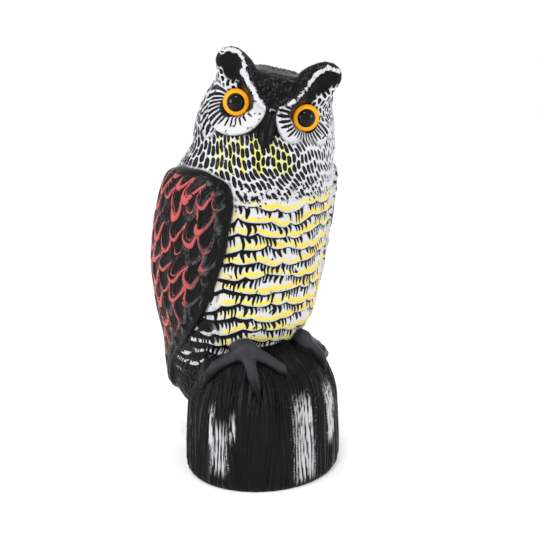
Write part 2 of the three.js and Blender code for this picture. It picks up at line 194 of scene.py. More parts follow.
# Edges of a folded wing: height, then the angles from the breast to its front and rear edge.
WING_EDGES = [
    [62, 114, 130], [75, 107, 144], [95, 99, 154], [125, 83, 161], [149, 70, 166],
    [170, 60, 168], [190, 54, 169], [210, 49, 168], [232, 46, 165], [262, 46, 158],
    [278, 48, 150], [290, 55, 139], [299, 68, 120],
]

# Tail: height, half width, half depth, centre y.
TAIL_PROFILE = [
    [36, 15, 6, 92], [40, 21, 9, 93], [70, 26, 12, 97], [105, 29, 14, 100],
    [140, 30, 15, 99], [178, 24, 14, 94],
]

# Feet: a joint is its angle from the front, height, how proud of the stump, share of thickness.
FEET = [
    {
        "knuckle": [-52, 119, -2],
        "toes": [
            [[-70, 121, 5, 1], [-82, 114, 4, 0.95], [-89, 105, 2.5, 0.8], [-95, 93, 0, 0.3]],
            [[-47, 120, 6, 0.95], [-44, 110, 4, 0.9], [-42, 101, 3, 0.75], [-40, 91, 0, 0.3]],
            [[-31, 122, 5, 0.95], [-18, 114, 4, 0.85], [-13, 108, 0.5, 0.3]],
        ],
    },
    {
        "knuckle": [34, 116, -9],
        "toes": [
            [[36, 119, 3, 1.05], [34, 113, 3.5, 1], [33, 109, 3, 0.8], [34, 101, 0, 0.3]],
            [[56, 112, 1.5, 0.9], [70, 103, 2, 0.8], [78, 90, 0, 0.3]],
            [[76, 110, 1.5, 0.85], [92, 102, 2, 0.8], [102, 89, 0, 0.3]],
        ],
    },
]
LEG_REACH = (0, 16, 2)

# Head: height above the eyes, half width, front and back of the skin out of the eyes' plane.
HEAD_PROFILE = [
    [-46, 63.5, 0, -108], [-30, 64, 2, -107], [-15, 62.5, 3, -106], [0, 59, 2, -104],
    [11, 54.5, -1, -98], [20, 52.5, -4, -88], [27, 47, -9, -76], [31, 37, -17, -64],
    [34, 19, -28, -52],
]

# Ear tuft: height, centre across, half width, half depth, centre out of the face.
EAR_PROFILE = [
    [8, 36.5, 13, 14, -26], [20, 34, 18, 13, -22], [31, 37, 18.5, 11, -19],
    [38, 39.5, 15.5, 8.5, -17], [43, 41.5, 10.5, 5.5, -16], [46.5, 42, 5.5, 3, -16],
]
EAR_LIFT = {-1: -1, 1: 4}
EAR_SPREAD = {-1: 0.7, 1: -1.3}
EAR_HOLLOW = {"across": 43, "out": -4, "up": 28, "width": 14, "depth": 9.5, "height": 14.5}

# Brow ridge from the beak's root to the tip of an ear tuft: across, out, up, share of its radius.
BROW_ROUTE = [
    [4, 5, 2, 0.7], [12, 2.5, 8, 1], [19, -2, 14.5, 1.15], [25, -6, 22, 1.15],
    [29, -8.5, 30, 1], [34, -10, 37.5, 0.95], [41, -12, 43, 0.6],
]

# White stripe along a brow, from the beak to the tip of the ear: across, up, half width.
STRIPES = {
    -1: [[4, 3, 1], [15, 10, 1.5], [23.5, 19, 2.3], [31, 26.5, 2.7], [31, 34, 1.3], [38, 42, 1.8],
         [46, 43, 1.8], [53, 39, 1.7]],
    1: [[5, 3.5, 0.8], [11, 8, 1.2], [17, 11.5, 1.7], [23, 20, 1.4], [28, 30, 1.7], [33, 40, 2],
        [42, 46, 2], [51, 45, 1.4]],
}

# Face disc: share of the radius, and how proud it lies as a share of the rim.
DISC_PROFILE = [[0.42, -0.33], [0.55, 0.2], [0.78, 0.75], [0.94, 1], [1, 0.85]]

# Beak from its tip to its root: shares of its length, width and projection.
BEAK_PROFILE = [
    [-1, 0.12, 0.72], [-0.95, 0.45, 0.9], [-0.8, 0.82, 1], [-0.55, 1, 0.9],
    [-0.28, 0.75, 0.62], [-0.02, 0.38, 0.25], [0.04, 0.1, -0.2],
]
BEAK_ROOT_DEPTH = 12


# Sums that work on arrays and on material nodes alike
def calculator(kind):
    """A function that does one kind of sum."""
    return lambda *values: calc(kind, *values)


class Wire:
    """A number in a material's node tree. Arithmetic on it adds Math nodes to the tree."""

    __add__ = __radd__ = calculator("ADD")
    __sub__ = calculator("SUBTRACT")
    __mul__ = __rmul__ = calculator("MULTIPLY")
    __truediv__ = calculator("DIVIDE")

    def __init__(self, socket):
        self.socket = socket

    def __rsub__(self, other):
        return calc("SUBTRACT", other, self)

    def __neg__(self):
        return calc("MULTIPLY", self, -1)


ARRAY_CALC = {
    "ADD": np.add,
    "SUBTRACT": np.subtract,
    "MULTIPLY": np.multiply,
    "DIVIDE": np.divide,
    "MINIMUM": np.minimum,
    "MAXIMUM": np.maximum,
    "ARCTAN2": np.arctan2,
    "SINE": np.sin,
    "SQRT": np.sqrt,
    "FLOOR": np.floor,
    "ABSOLUTE": np.abs,
    "FRACT": lambda value: value - np.floor(value),
    "GREATER_THAN": lambda value, limit: np.greater(value, limit).astype(float),
}


def calc(kind, *values):
    wires = [value for value in values if isinstance(value, Wire)]
    if not wires:
        return ARRAY_CALC[kind](*values)
    tree = wires[0].socket.id_data
    node = tree.nodes.new("ShaderNodeMath")
    node.operation = kind
    for socket, value in zip(node.inputs, values):
        feed(tree, socket, value)
    return Wire(node.outputs[0])


def feed(tree, socket, value):
    """Put a wire, another node's output or a plain value into a socket."""
    if isinstance(value, Wire):
        value = value.socket
    if isinstance(value, bpy.types.NodeSocket):
        tree.links.new(value, socket)
    else:
        socket.default_value = value


sine = calculator("SINE")
floor = calculator("FLOOR")
fract = calculator("FRACT")
size_of = calculator("ABSOLUTE")
lower = calculator("MINIMUM")
higher = calculator("MAXIMUM")
above = calculator("GREATER_THAN")


def root(value):
    return calc("SQRT", higher(value, 0))


def blend(a, b, share):
    return a + (b - a) * share


def rise(low, high, value):
    """0 at low, 1 at high, smooth between and level beyond."""
    if isinstance(value, Wire):
        tree = value.socket.id_data
        node = tree.nodes.new("ShaderNodeMapRange")
        node.interpolation_type = "SMOOTHSTEP"
        node.inputs["From Min"].default_value = low
        node.inputs["From Max"].default_value = high
        tree.links.new(value.socket, node.inputs["Value"])
        return Wire(node.outputs["Result"])
    share = np.clip((value - low) / (high - low), 0, 1)
    return share * share * (3 - 2 * share)


def window(value, low, high, soft):
    """1 between low and high, 0 outside them, with soft ends."""
    return rise(low - soft, low + soft, value) * rise(high + soft, high - soft, value)


def chance(a, b=0):
    """A fixed number from 0 to 1 for a pair of whole numbers."""
    return fract(sine(a * 2.399 + b * 1.713 + 0.7) * 57.3)


# Carved patterns
def breast_feathers(arc, height):
    """Scalloped rows of breast feathers: row, and distances under the row above and over its own
    lower edge."""
    level = height + 1.5 * sine(arc * 0.045 + 0.6) + 1.3 * sine(arc * 0.1 + height * 0.06)

    def edge(row):
        place = arc / BREAST_FEATHER + row * 0.5 + chance(row) * 0.4
        place = place + 0.16 * sine(arc * 0.13 + row * 2)
        across = fract(place) * 2 - 1
        scallop = (1 - across * across) * (0.35 + 0.65 * chance(floor(place), row))
        wave = 0.5 + 0.5 * sine(arc * 0.062 + 6.3 * chance(row + 5))
        return row * BREAST_PITCH + BREAST_LOW - scallop * BREAST_SCALLOP - wave * BREAST_WAVE

    line = floor((level - BREAST_LOW) / BREAST_PITCH)
    edges = [edge(line + k) for k in range(3)]
    is_next = above(level, edges[1])
    own = blend(edges[0], edges[1], is_next)
    over = blend(edges[1], edges[2], is_next)
    return line + is_next, over - level, level - own


def barbs(arc, row, top):
    """Dark barbs that hang from the edge of the row above: 1 on a barb, 0 beside it."""
    place = arc / BARB_PITCH + chance(row) * 7 + sine(top * 0.4 + row) * 0.25 + sine(arc * 0.21) * 0.4
    number = floor(place)
    length = BARB_LENGTH * (0.5 + 0.6 * chance(number, row))
    taper = 1 - lower(top / length, 1)
    half = root(taper) * (0.38 + 0.14 * chance(number + 31, row))
    is_there = rise(0.14, 0.18, chance(number + 57, row))
    return rise(-0.08, 0.08, half - size_of(fract(place) - 0.5)) * is_there * rise(0, 0.12, taper)


def lens_feathers(arc, height):
    """Staggered lens-shaped feathers: 1 in the middle of one, 0 on its edge, less between."""
    turns = arc * (2 * np.pi / BODY_GIRTH)
    bent = arc + 1.1 * sine(height * 0.13 + turns * 5) + 0.5 * sine(height * 0.31 - turns * 13)
    column = floor(bent / LENS_WIDTH)
    length = LENS_LENGTH * (0.85 + 0.4 * chance(column + 9))
    place = height / length + column * 0.5 + chance(column) * 0.45
    row = floor(place)
    x = (fract(bent / LENS_WIDTH) - 0.5 + (chance(row, column) - 0.5) * 0.1) / 0.46
    y = (fract(place) - 0.5) / (0.43 + 0.07 * chance(row + 19, column))
    return 1 - x * x - size_of(y * y * y)


def wing_feathers(back, height):
    """Overlapping round wing feathers that point down and back: row, feather, distance to its
    rim, and place across it from -1 to 1."""
    u = back * np.cos(WING_FEATHER_TILT) + height * np.sin(WING_FEATHER_TILT)
    v = height * np.cos(WING_FEATHER_TILT) - back * np.sin(WING_FEATHER_TILT)
    u, v = (u + 3.6 * sine(v * 0.061 + 1.3) + 1.8 * sine(v * 0.17 + u * 0.05),
            v + 3.6 * sine(u * 0.07 + 1) + 1.8 * sine(u * 0.19 - v * 0.06))

    def cell(row):
        return u / WING_FEATHER_WIDTH + row * 0.5 + chance(row) * 0.35

    def edge(row):
        place = cell(row)
        x = fract(place) * 2 - 1
        drop = WING_FEATHER_DROP * (0.7 + 0.6 * chance(floor(place), row))
        return row * WING_FEATHER_PITCH - (1 - x * x * (0.4 + 0.6 * x * x)) * drop

    line = floor(v / WING_FEATHER_PITCH)
    row = line + above(v, edge(line + 1))
    place = cell(row)
    x = fract(place) * 2 - 1
    slope = x * (0.8 + 2.4 * x * x) * (2 * WING_FEATHER_DROP / WING_FEATHER_WIDTH)
    return row, floor(place), (v - edge(row)) / root(slope * slope + 1), x


def flutes(angle, height):
    """Bark flutes that run down the stump: 1 on a crest, 0 in a groove."""
    sway = 0.9 * sine(angle * 3 + 0.5) + 0.55 * sine(angle * 7 + height * 0.03)
    place = angle * (FLUTES / (2 * np.pi)) + sway + 0.35 * sine(angle * 19 - height * 0.05)
    crest = 0.5 + 0.5 * sine(place * (2 * np.pi))
    strength = 0.55 + 0.45 * sine(angle * 31 + height * 0.04)
    return crest * blend(1, strength, 0.5)


def around_eye(side, across, up):
    """Distance from the middle of an eye, and the turn round it in degrees: 0 below the eye, 90
    towards the temple, -90 towards the beak."""
    return root(across * across + up * up), calc("ARCTAN2", across * side, -up) * (180 / np.pi)


def disc_rays(side, across, up):
    """Dark rays that run outwards from an eye over its disc, long and bent at the temple: 1 on a
    ray."""
    radius, turn = around_eye(side, across, up)
    temple = window(turn, *WHISKERS[side], 8)
    beak_side = rise(-52, -68, turn)
    bent = turn + (radius - EYE_RADIUS) * temple * 0.9
    bent = bent + higher(turn - WHISKERS[side][0], 0) * RAY_CROWDING[side]
    place = bent * (DISC_RAYS[side] / 360) + 0.3 * sine(bent * 0.052 + 1)
    number = floor(place)

    def varied(below, inner, outer):
        return blend(blend(below, inner, beak_side), outer, temple)

    reach = varied(*RAY_REACH[side]) + 0.2 * chance(number, side) - 0.1
    ahead = higher(reach * DISC_RADIUS - radius, 0)
    half = varied(*RAY_SHARES[side]) * root(lower(ahead * 0.2, 1))
    on_ray = rise(-0.06, 0.06, half - size_of(fract(place) - 0.5)) * rise(0, 0.6, ahead)
    return on_ray * rise(-0.7, 0.7, radius - EYE_RADIUS - 0.6 - 3.5 * beak_side)


# Distance fields
def lookup(table, step=0.25):
    """A table's columns at any height, on a cubic that doesn't overshoot between its rows."""
    rows = np.array(table, float)
    heights, values = rows[:, 0], rows[:, 1:]
    rates = np.diff(values, axis=0) / np.diff(heights)[:, None]
    product = rates[:-1] * rates[1:]
    total = np.where(product > 0, rates[:-1] + rates[1:], 1)
    slopes = np.zeros_like(values)
    slopes[1:-1] = np.where(product > 0, 2 * product / total, 0)
    fine = np.arange(heights[0], heights[-1] + step, step)
    fine[-1] = heights[-1]
    i = np.clip(np.searchsorted(heights, fine) - 1, 0, len(heights) - 2)
    span = (heights[i + 1] - heights[i])[:, None]
    share = (fine - heights[i])[:, None] / span
    change = values[i + 1] - values[i]
    start = slopes[i] * span
    end = slopes[i + 1] * span
    curve = (values[i] + start * share + (3 * change - 2 * start - end) * share ** 2
             + (start + end - 2 * change) * share ** 3)
    return lambda height: [np.interp(height, fine, column) for column in curve.T]


stump_at = lookup(STUMP_PROFILE)
body_at = lookup(BODY_PROFILE)
wing_at = lookup(WING_EDGES)
tail_at = lookup(TAIL_PROFILE)
head_at = lookup(HEAD_PROFILE)
ear_at = lookup(EAR_PROFILE)
beak_at = lookup([[row[0] * BEAK_LENGTH, *row[1:]] for row in BEAK_PROFILE])


def smooth_min(a, b, radius):
    nearness = np.maximum(radius - np.abs(a - b), 0) / radius
    return np.minimum(a, b) - nearness * nearness * radius / 4


def smooth_max(a, b, radius):
    return -smooth_min(-a, -b, radius)


def capped(distance, height, table, radii):
    """A field cut off at the lowest and highest row of its table, with rounded edges."""
    low, high = table[0][0], table[-1][0]
    return smooth_max(smooth_max(distance, low - height, radii[0]), height - high, radii[1])


def ellipse_distance(x, y, a, b):
    k = np.hypot(x / a, y / b)
    slope = np.hypot(x / a ** 2, y / b ** 2)
    return k * (k - 1) / np.maximum(slope, 1e-6)


def bar_distance(points, stops, radii):
    """Distance to a round bar through stops that each have their own radius."""
    nearest = np.full(len(points), FAR)
    for start, end, r0, r1 in zip(stops[:-1], stops[1:], radii[:-1], radii[1:]):
        along = end - start
        share = np.clip((points - start) @ along / (along @ along), 0, 1)
        reach = np.linalg.norm(points - start - share[:, None] * along, axis=1)
        nearest = smooth_min(nearest, reach - blend(r0, r1, share), 1.2)
    return nearest


def turned(degrees, axis):
    """Matrix of a turn about x, y or z."""
    c, s = np.cos(np.radians(degrees)), np.sin(np.radians(degrees))
    i, j = {"x": (1, 2), "y": (2, 0), "z": (0, 1)}[axis]
    matrix = np.eye(3)
    matrix[i, i] = matrix[j, j] = c
    matrix[j, i], matrix[i, j] = s, -s
    return matrix


HEAD_AXES = turned(HEAD_TURN, "z") @ turned(HEAD_ROLL, "y")
EYE_HALF_WIDTH = float(head_at(0)[0])
EYE_ANGLE = np.arcsin(EYE_SPACING / 2 / EYE_HALF_WIDTH)
EYE_ARC = float(EYE_ANGLE * EYE_HALF_WIDTH)


def eye_seat(side):
    a, front, back = head_at(0)
    half = (front - back) / 2 - EYE_SINK
    out = (front + back) / 2 + half * np.cos(EYE_ANGLE)
    across = side * (a - EYE_SINK) * np.sin(EYE_ANGLE)
    return np.array(FACE_CENTRE) + HEAD_AXES @ (across, -out, 0)


def eye_axes(side):
    return HEAD_AXES @ turned(side * EYE_SPLAY, "z")


def stump_point(angle, height, proud):
    width, depth, y = stump_at(height)
    turn = np.radians(angle)
    return np.array([
        (width * STUMP_WIDTH / 2 + proud) * np.sin(turn),
        y - (depth * STUMP_DEPTH / 2 + proud) * np.cos(turn),
        height,
    ])


def stump_field(points):
    x, y, z = points.T
    wide, deep, centre = stump_at(z)
    a, b = wide * STUMP_WIDTH / 2, deep * STUMP_DEPTH / 2
    angle = np.arctan2(x / a, (centre - y) / b)
    skin = smooth_max(ellipse_distance(x, y - centre, a, b), z - STUMP_TOP, 4)
    fade = rise(0, 4, z) * rise(STUMP_TOP, STUMP_TOP - 12, z)
    depth = FLUTE_DEPTH * (1 + 0.5 * rise(60, 96, z))
    carved = skin + depth * (0.7 - flutes(angle, z)) * fade
    return {"distance": np.maximum(carved, -z), "stump_s": np.sin(angle), "stump_c": np.cos(angle)}


def foot_field(points):
    nearest = np.full(len(points), FAR)
    for foot in FEET:
        top = stump_point(*foot["knuckle"]) + (0, 0, KNUCKLE_LIFT)
        offset = (points - top + (0, 0, KNUCKLE_LIFT / 3)) / (1, 1, 1.5)
        ball = np.linalg.norm(offset, axis=1) - KNUCKLE_SHARE * TOE_RADIUS
        leg_radii = [share * TOE_RADIUS for share in LEG_SHARES]
        leg = bar_distance(points, [top + LEG_REACH, top], leg_radii)
        nearest = smooth_min(nearest, smooth_min(ball, leg, 3), 1)
        for toe in foot["toes"]:
            stops = [top, *[stump_point(*joint[:3]) for joint in toe]]
            radii = [ROOT_SHARE * TOE_RADIUS, *[joint[3] * TOE_RADIUS for joint in toe]]
            nearest = smooth_min(nearest, bar_distance(points, stops[:-1], radii[:-1]), 2.5)
            claw = bar_distance(points, stops[-2:], [CLAW_SHARE * radii[-2], radii[-1]])
            nearest = smooth_min(nearest, claw, 0.8)
    return {"distance": nearest}


def wing_inset(angle, height, girth):
    """How far inside the nearer folded wing's edge a point is, and how far behind its front."""
    front, rear = wing_at(height)
    arc = girth * np.pi / 180
    behind = (np.abs(angle) - front) * arc
    before = (rear - np.abs(angle)) * arc
    ends = smooth_min(height - WING_EDGES[0][0] + 4, WING_EDGES[-1][0] + 1 - height, 4)
    return smooth_min(smooth_min(behind, before, 6), ends, 16), behind


def body_places(points):
    """Skin distance and pattern coordinates of points around the body."""
    x, y, z = points.T
    a, b, cx, cy, yaw = body_at(z)
    turn = np.radians(yaw)
    u = (x - cx) * np.cos(turn) + (y - cy) * np.sin(turn)
    v = (y - cy) * np.cos(turn) - (x - cx) * np.sin(turn)
    angle = np.arctan2(u / a, -v / b)
    fixed = (np.degrees(angle) + yaw + 180) % 360 - 180
    skin = ellipse_distance(u, v, a, b)
    inset, behind = wing_inset(fixed, z, np.hypot(a * np.cos(angle), b * np.sin(angle)))
    return {
        "skin": skin,
        "angle": angle,
        "body_s": np.sin(angle),
        "body_c": np.cos(angle),
        "wing_inset": inset,
        "wing_behind": behind,
        "wing_back": (np.abs(fixed) - WING_START) * BODY_GIRTH / 360,
    }


def belly_share(arc, height, inset):
    """Where the scalloped breast feathers are: 1 on the breast, 0 off it."""
    low = 116 - 22 * rise(50, 110, size_of(arc))
    side = rise(150, 120, size_of(arc))
    ends = rise(-2, 2, height - low) * rise(2, -2, height - NECK_LOW)
    return ends * side * rise(1, -1.5, inset)


def neck_arc(arc):
    """Place round the neck with the lens feathers spread wider on the bird's right cheek."""
    return arc + 18 * (rise(-50, -120, arc) - rise(-130, -200, arc))


def lens_relief(lens):
    return 0.35 - 0.9 * rise(-0.1, 0.5, lens) + 0.35 * rise(0.4, 1, lens)


def body_relief(at, height):
    arc = at["angle"] * GIRTH_PER_RADIAN
    row, top, bottom = breast_feathers(arc, height)
    lip = BREAST_LIP * top / (top + bottom) * rise(0, 1.3, bottom)
    breast = lip - BARB_DEPTH * barbs(arc, row, top)
    neck = lens_relief(lens_feathers(neck_arc(arc), height))
    carved = blend(neck, breast, belly_share(arc, height, at["wing_inset"]))
    inset = at["wing_inset"]
    row, number, rim, x = wing_feathers(at["wing_back"], height)
    feather = WING_LIP * rise(0, 0.9, rim) * rise(WING_FEATHER_DROP, 1.5, rim)
    hatch = WING_HATCH * sine(x * 16 + number) * rise(3, 5, rim)
    wing = WING_THICKNESS * rise(-1.2, 2.6, inset) + (feather + hatch - 0.6) * rise(4, 7, inset)
    return blend(carved, 0, rise(-1.5, 0.5, inset)) + np.where(inset > -1.2, wing, 0)


def body_field(points):
    z = points[:, 2]
    at = body_places(points)
    carved = capped(at["skin"] - body_relief(at, z), z, BODY_PROFILE, (5, 5))
    return {**at, "distance": smooth_min(carved, tail_distance(points), 4)}


def tail_distance(points):
    x, y, z = points.T
    a, b, centre = tail_at(z)
    ribs = 0.5 + 0.5 * np.cos(x * (2 * np.pi / TAIL_RIB_PITCH))
    skin = ellipse_distance(x, y - centre, a, b) + TAIL_RIB_DEPTH * (1 - ribs ** 0.5)
    return capped(skin, z, TAIL_PROFILE, (3, 6))


def head_places(points):
    across, back, up = ((points - FACE_CENTRE) @ HEAD_AXES).T
    out = -back
    a, front, rear = head_at(up)
    middle, half = (front + rear) / 2, (front - rear) / 2
    angle = np.arctan2(across / a, (out - middle) / half)
    skull = capped(ellipse_distance(across, out - middle, a, half), up, HEAD_PROFILE, (6, 5))
    return {"across": across, "out": out, "up": up, "skull": skull, "face": angle * EYE_HALF_WIDTH}


def disc_relief(at):
    shares, rises = np.array(DISC_PROFILE).T
    total = 0
    for side in (-1, 1):
        across, up = at["face"] - side * EYE_ARC, at["up"]
        radius = np.hypot(across, up)
        lift = DISC_RIM * np.interp(radius / DISC_RADIUS, shares, rises)
        lift = lift - RAY_DEPTH * disc_rays(side, across, up)
        below = rise(-0.5, 0.3, -up / np.maximum(radius, 1))
        proud = np.maximum(blend(-DISC_RIM, lift, below), 0)
        total = np.maximum(total, proud * rise(0.9, -0.9, radius - DISC_RADIUS))
    return total


def plumage_relief(at, points):
    """Small feathers on the crown and the sides of the head, outside the face discs."""
    arc = body_places(points)["angle"] * GIRTH_PER_RADIAN
    cheek = lens_relief(lens_feathers(neck_arc(arc), points[:, 2]))
    crown = CROWN_DEPTH * lens_feathers(at["across"] * 1.2, -at["out"] * 1.1).clip(-0.6, 0.8)
    reach = np.min([np.hypot(at["face"] - side * EYE_ARC, at["up"]) for side in (-1, 1)], axis=0)
    relief = blend(cheek * rise(0, 3, reach - DISC_RADIUS), crown, rise(14, 20, at["up"]))
    return relief * rise(HEAD_PROFILE[0][0], HEAD_PROFILE[0][0] + 8, at["up"])


def ear_distance(at, side):
    height = at["up"] - EAR_LIFT[side]
    centre, a, b, out = ear_at(height)
    across = at["across"] - side * (centre + EAR_SPREAD[side])
    return capped(ellipse_distance(across, at["out"] - out, a, b), height, EAR_PROFILE, (6, 3))


def hollow_distance(at, side):
    offset = [
        (at["across"] - side * (EAR_HOLLOW["across"] + EAR_SPREAD[side])) / EAR_HOLLOW["width"],
        (at["out"] - EAR_HOLLOW["out"]) / EAR_HOLLOW["depth"],
        (at["up"] - EAR_HOLLOW["up"] - EAR_LIFT[side]) / EAR_HOLLOW["height"],
    ]
    return (np.sqrt(sum(part ** 2 for part in offset)) - 1) * EAR_HOLLOW["depth"]


def brow_stops(side):
    last = len(BROW_ROUTE) - 1
    stops = [np.array([side * across, out, up + EAR_LIFT[side] * (i / last) ** 2])
             for i, (across, out, up, _) in enumerate(BROW_ROUTE)]
    return stops, [row[3] * BROW_RADIUS for row in BROW_ROUTE]


def beak_distance(at):
    width, out = beak_at(at["up"])
    half = width * BEAK_WIDTH / 2
    depth = np.where(at["out"] > 0, np.maximum(out * BEAK_PROJECTION, 0.5), BEAK_ROOT_DEPTH)
    skin = ellipse_distance(at["across"], at["out"], half, depth)
    return smooth_max(smooth_max(skin, -BEAK_LENGTH - at["up"], 1.5), at["up"] - 2, 2)


def socket_distance(points, side):
    across, back, up = ((points - eye_seat(side)) @ eye_axes(side)).T
    out = -back
    radius = np.hypot(across, up)
    flare = np.clip(out, 0, SOCKET_FLARE_REACH) * SOCKET_FLARE
    seat = np.maximum(radius - EYE_RADIUS - EYE_CLEARANCE - flare, -EYE_FLANGE - EYE_CLEARANCE - out)
    stem_end = -EYE_FLANGE - EYE_STEM_LENGTH - EYE_CLEARANCE
    stem = np.maximum(radius - EYE_STEM_DIAMETER / 2 - EYE_CLEARANCE, stem_end - out)
    return np.minimum(seat, stem)


def head_field(points):
    at = head_places(points)
    spots = np.stack([at["across"], at["out"], at["up"]], axis=1)
    skin = at["skull"] - disc_relief(at) - plumage_relief(at, points)
    brow = np.minimum(*[bar_distance(spots, *brow_stops(side)) for side in (-1, 1)])
    ear = np.minimum(*[ear_distance(at, side) for side in (-1, 1)])
    hollow = np.minimum(*[hollow_distance(at, side) for side in (-1, 1)])
    beak = beak_distance(at)
    distance = smooth_min(smooth_min(skin, ear, 6), brow, 2.5)
    distance = smooth_min(distance, beak, 2)
    distance = smooth_max(distance, -hollow, 5)
    for side in (-1, 1):
        distance = smooth_max(distance, -socket_distance(points, side), 0.6)
    return {**at, "distance": distance, "hollow": hollow, "beak": beak}


# Lowest height of the head, and the heights between which the feet lie
HEAD_LOW = 290
FOOT_LOW, FOOT_HIGH = 82, 150


def owl_field(points):
    """Signed distance from the owl's skin, roughly, in millimetres."""
    z = points[:, 2]
    result = np.full(len(points), FAR)

    def join(field, low, high, radius):
        near = (z > low - PART_MARGIN) & (z < high + PART_MARGIN)
        result[near] = smooth_min(result[near], field(points[near])["distance"], radius)

    join(body_field, BODY_PROFILE[0][0], BODY_PROFILE[-1][0], 1)
    join(stump_field, -np.inf, STUMP_TOP, 3)
    join(foot_field, FOOT_LOW, FOOT_HIGH, 1.5)
    join(head_field, HEAD_LOW, np.inf, 3)
    return result


# Meshing
def in_chunks(function, points, size=200000):
    return np.concatenate([function(points[i:i + size]) for i in range(0, len(points), size)])


def sample_field(function, low, high, step, levels=4, reach=1.5):
    """Values of a field on a grid, worked out in full only near its zero surface."""
    size = step * 2 ** (levels - 1)
    shape = np.ceil((high - low) / size).astype(int)
    values, near = np.zeros(shape), np.ones(shape, bool)
    for level in range(levels):
        if level:
            near = np.abs(values) < reach * size
            values, near = (a.repeat(2, 0).repeat(2, 1).repeat(2, 2) for a in (values, near))
            size /= 2
        values[near] = in_chunks(function, low + (np.argwhere(near) + 0.5) * size)
    return values, low + 0.5 * size


def surface_nets(values, origin, step):
    """Points and quads of the zero surface of a sampled field."""
    inside = values < 0
    corners = [(i, j, k) for i in (0, 1) for j in (0, 1) for k in (0, 1)]
    shape = np.array(values.shape) - 1
    count = np.zeros(shape, np.int8)
    for i, j, k in corners:
        count += inside[i:i + shape[0], j:j + shape[1], k:k + shape[2]]
    cells = np.argwhere((count > 0) & (count < 8))
    number = np.full(shape, -1, np.int32)
    number[tuple(cells.T)] = np.arange(len(cells))
    total = np.zeros((len(cells), 3))
    crossings = np.zeros(len(cells))
    for axis in range(3):
        for corner in corners:
            if corner[axis]:
                continue
            start = cells + corner
            end = start.copy()
            end[:, axis] += 1
            a, b = values[tuple(start.T)], values[tuple(end.T)]
            cut = (a < 0) != (b < 0)
            share = a[cut] / (a[cut] - b[cut])
            place = start[cut].astype(float)
            place[:, axis] += share
            total[cut] += place
            crossings[cut] += 1
    points = origin + total / crossings[:, None] * step
    quads = []
    for axis in range(3):
        one, two = [(1, 2), (2, 0), (0, 1)][axis]
        low = inside.take(range(inside.shape[axis] - 1), axis)
        high = inside.take(range(1, inside.shape[axis]), axis)
        for flips, order in ((low & ~high, (0, 1, 2, 3)), (~low & high, (3, 2, 1, 0))):
            edges = np.argwhere(flips)
            around = []
            for d1, d2 in ((-1, -1), (0, -1), (0, 0), (-1, 0)):
                cell = edges.copy()
                cell[:, one] += d1
                cell[:, two] += d2
                around.append(number[tuple(cell.T)])
            quads.append(np.stack([around[k] for k in order], axis=1))
    return points, np.concatenate(quads)


def slope_of(points, nudge=0.15):
    """Field and its slope at points."""
    here = in_chunks(owl_field, points)
    slope = np.empty_like(points)
    for axis in range(3):
        moved = points.copy()
        moved[:, axis] += nudge
        slope[:, axis] = (in_chunks(owl_field, moved) - here) / nudge
    return here, slope


def settled(points, limit):
    """Points moved onto the zero surface, each by a limit at most."""
    here, slope = slope_of(points)
    move = here / np.maximum((slope ** 2).sum(axis=1), 0.25)
    step = -move[:, None] * slope
    length = np.linalg.norm(step, axis=1, keepdims=True)
    points = points + step * np.minimum(1, limit / np.maximum(length, 1e-9))
    points[:, 2] = np.maximum(points[:, 2], 0)
    return points


def mesh_of(name, points, faces):
    mesh = bpy.data.meshes.new(name)
    mesh.vertices.add(len(points))
    mesh.vertices.foreach_set("co", np.ravel(points * MM))
    mesh.loops.add(faces.size)
    mesh.loops.foreach_set("vertex_index", np.ravel(faces))
    mesh.polygons.add(len(faces))
    mesh.polygons.foreach_set("loop_start", np.arange(0, faces.size, faces.shape[1]))
    mesh.update(calc_edges=True)
    return mesh


def places_of(mesh):
    co = np.empty(len(mesh.vertices) * 3)
    mesh.vertices.foreach_get("co", co)
    return co.reshape(-1, 3) / MM


def piece_of(name, data):
    piece = bpy.data.objects.new(name, data)
    bpy.context.scene.collection.objects.link(piece)
    return piece


def smooth_with(mesh, places):
    """Smooth shading, and numbers at the vertices for the paint to read."""
    mesh.polygons.foreach_set("use_smooth", np.ones(len(mesh.polygons), bool))
    for name, values in places.items():
        attribute = mesh.attributes.new(name, "FLOAT", "POINT")
        attribute.data.foreach_set("value", values.astype(np.float32))


def whole_skin(points, faces, smallest=60):
    """Points and faces without the small loose parts that the steps between feathers leave."""
    corners = faces.shape[1]
    edges = np.stack([faces, np.roll(faces, -1, axis=1)], axis=2).reshape(-1, 2)
    edges = np.sort(edges, axis=1).astype(np.int64)
    key = edges[:, 0] * len(points) + edges[:, 1]
    order = np.argsort(key, kind="stable")
    _, start, count = np.unique(key[order], return_index=True, return_counts=True)
    pairs = start[count == 2]
    one, two = order[pairs] // corners, order[pairs + 1] // corners
    label = np.arange(len(faces))
    former = None
    while former is None or not np.array_equal(label, former):
        former = label.copy()
        least = np.minimum(label[one], label[two])
        np.minimum.at(label, one, least)
        np.minimum.at(label, two, least)
        label = label[label]
    kept = faces[np.bincount(label)[label] >= smallest]
    used, kept = np.unique(kept, return_inverse=True)
    return points[used], kept.reshape(-1, corners)


def thinned(points, faces, triangles):
    """Points and triangles of a mesh cut to a number of triangles, most where it is flat."""
    draft = piece_of("draft", mesh_of("draft", points, faces))
    modifier = draft.modifiers.new("thin", "DECIMATE")
    modifier.ratio = min(1, triangles / (2 * len(faces)))
    modifier.use_collapse_triangulate = True
    graph = bpy.context.evaluated_depsgraph_get()
    thin = bpy.data.meshes.new_from_object(draft.evaluated_get(graph))
    corners = np.empty(len(thin.loops), np.int32)
    thin.loops.foreach_get("vertex_index", corners)
    points = places_of(thin)
    full = draft.data
    bpy.data.objects.remove(draft)
    for mesh in (full, thin):
        bpy.data.meshes.remove(mesh)
    return points, corners.reshape(-1, 3)


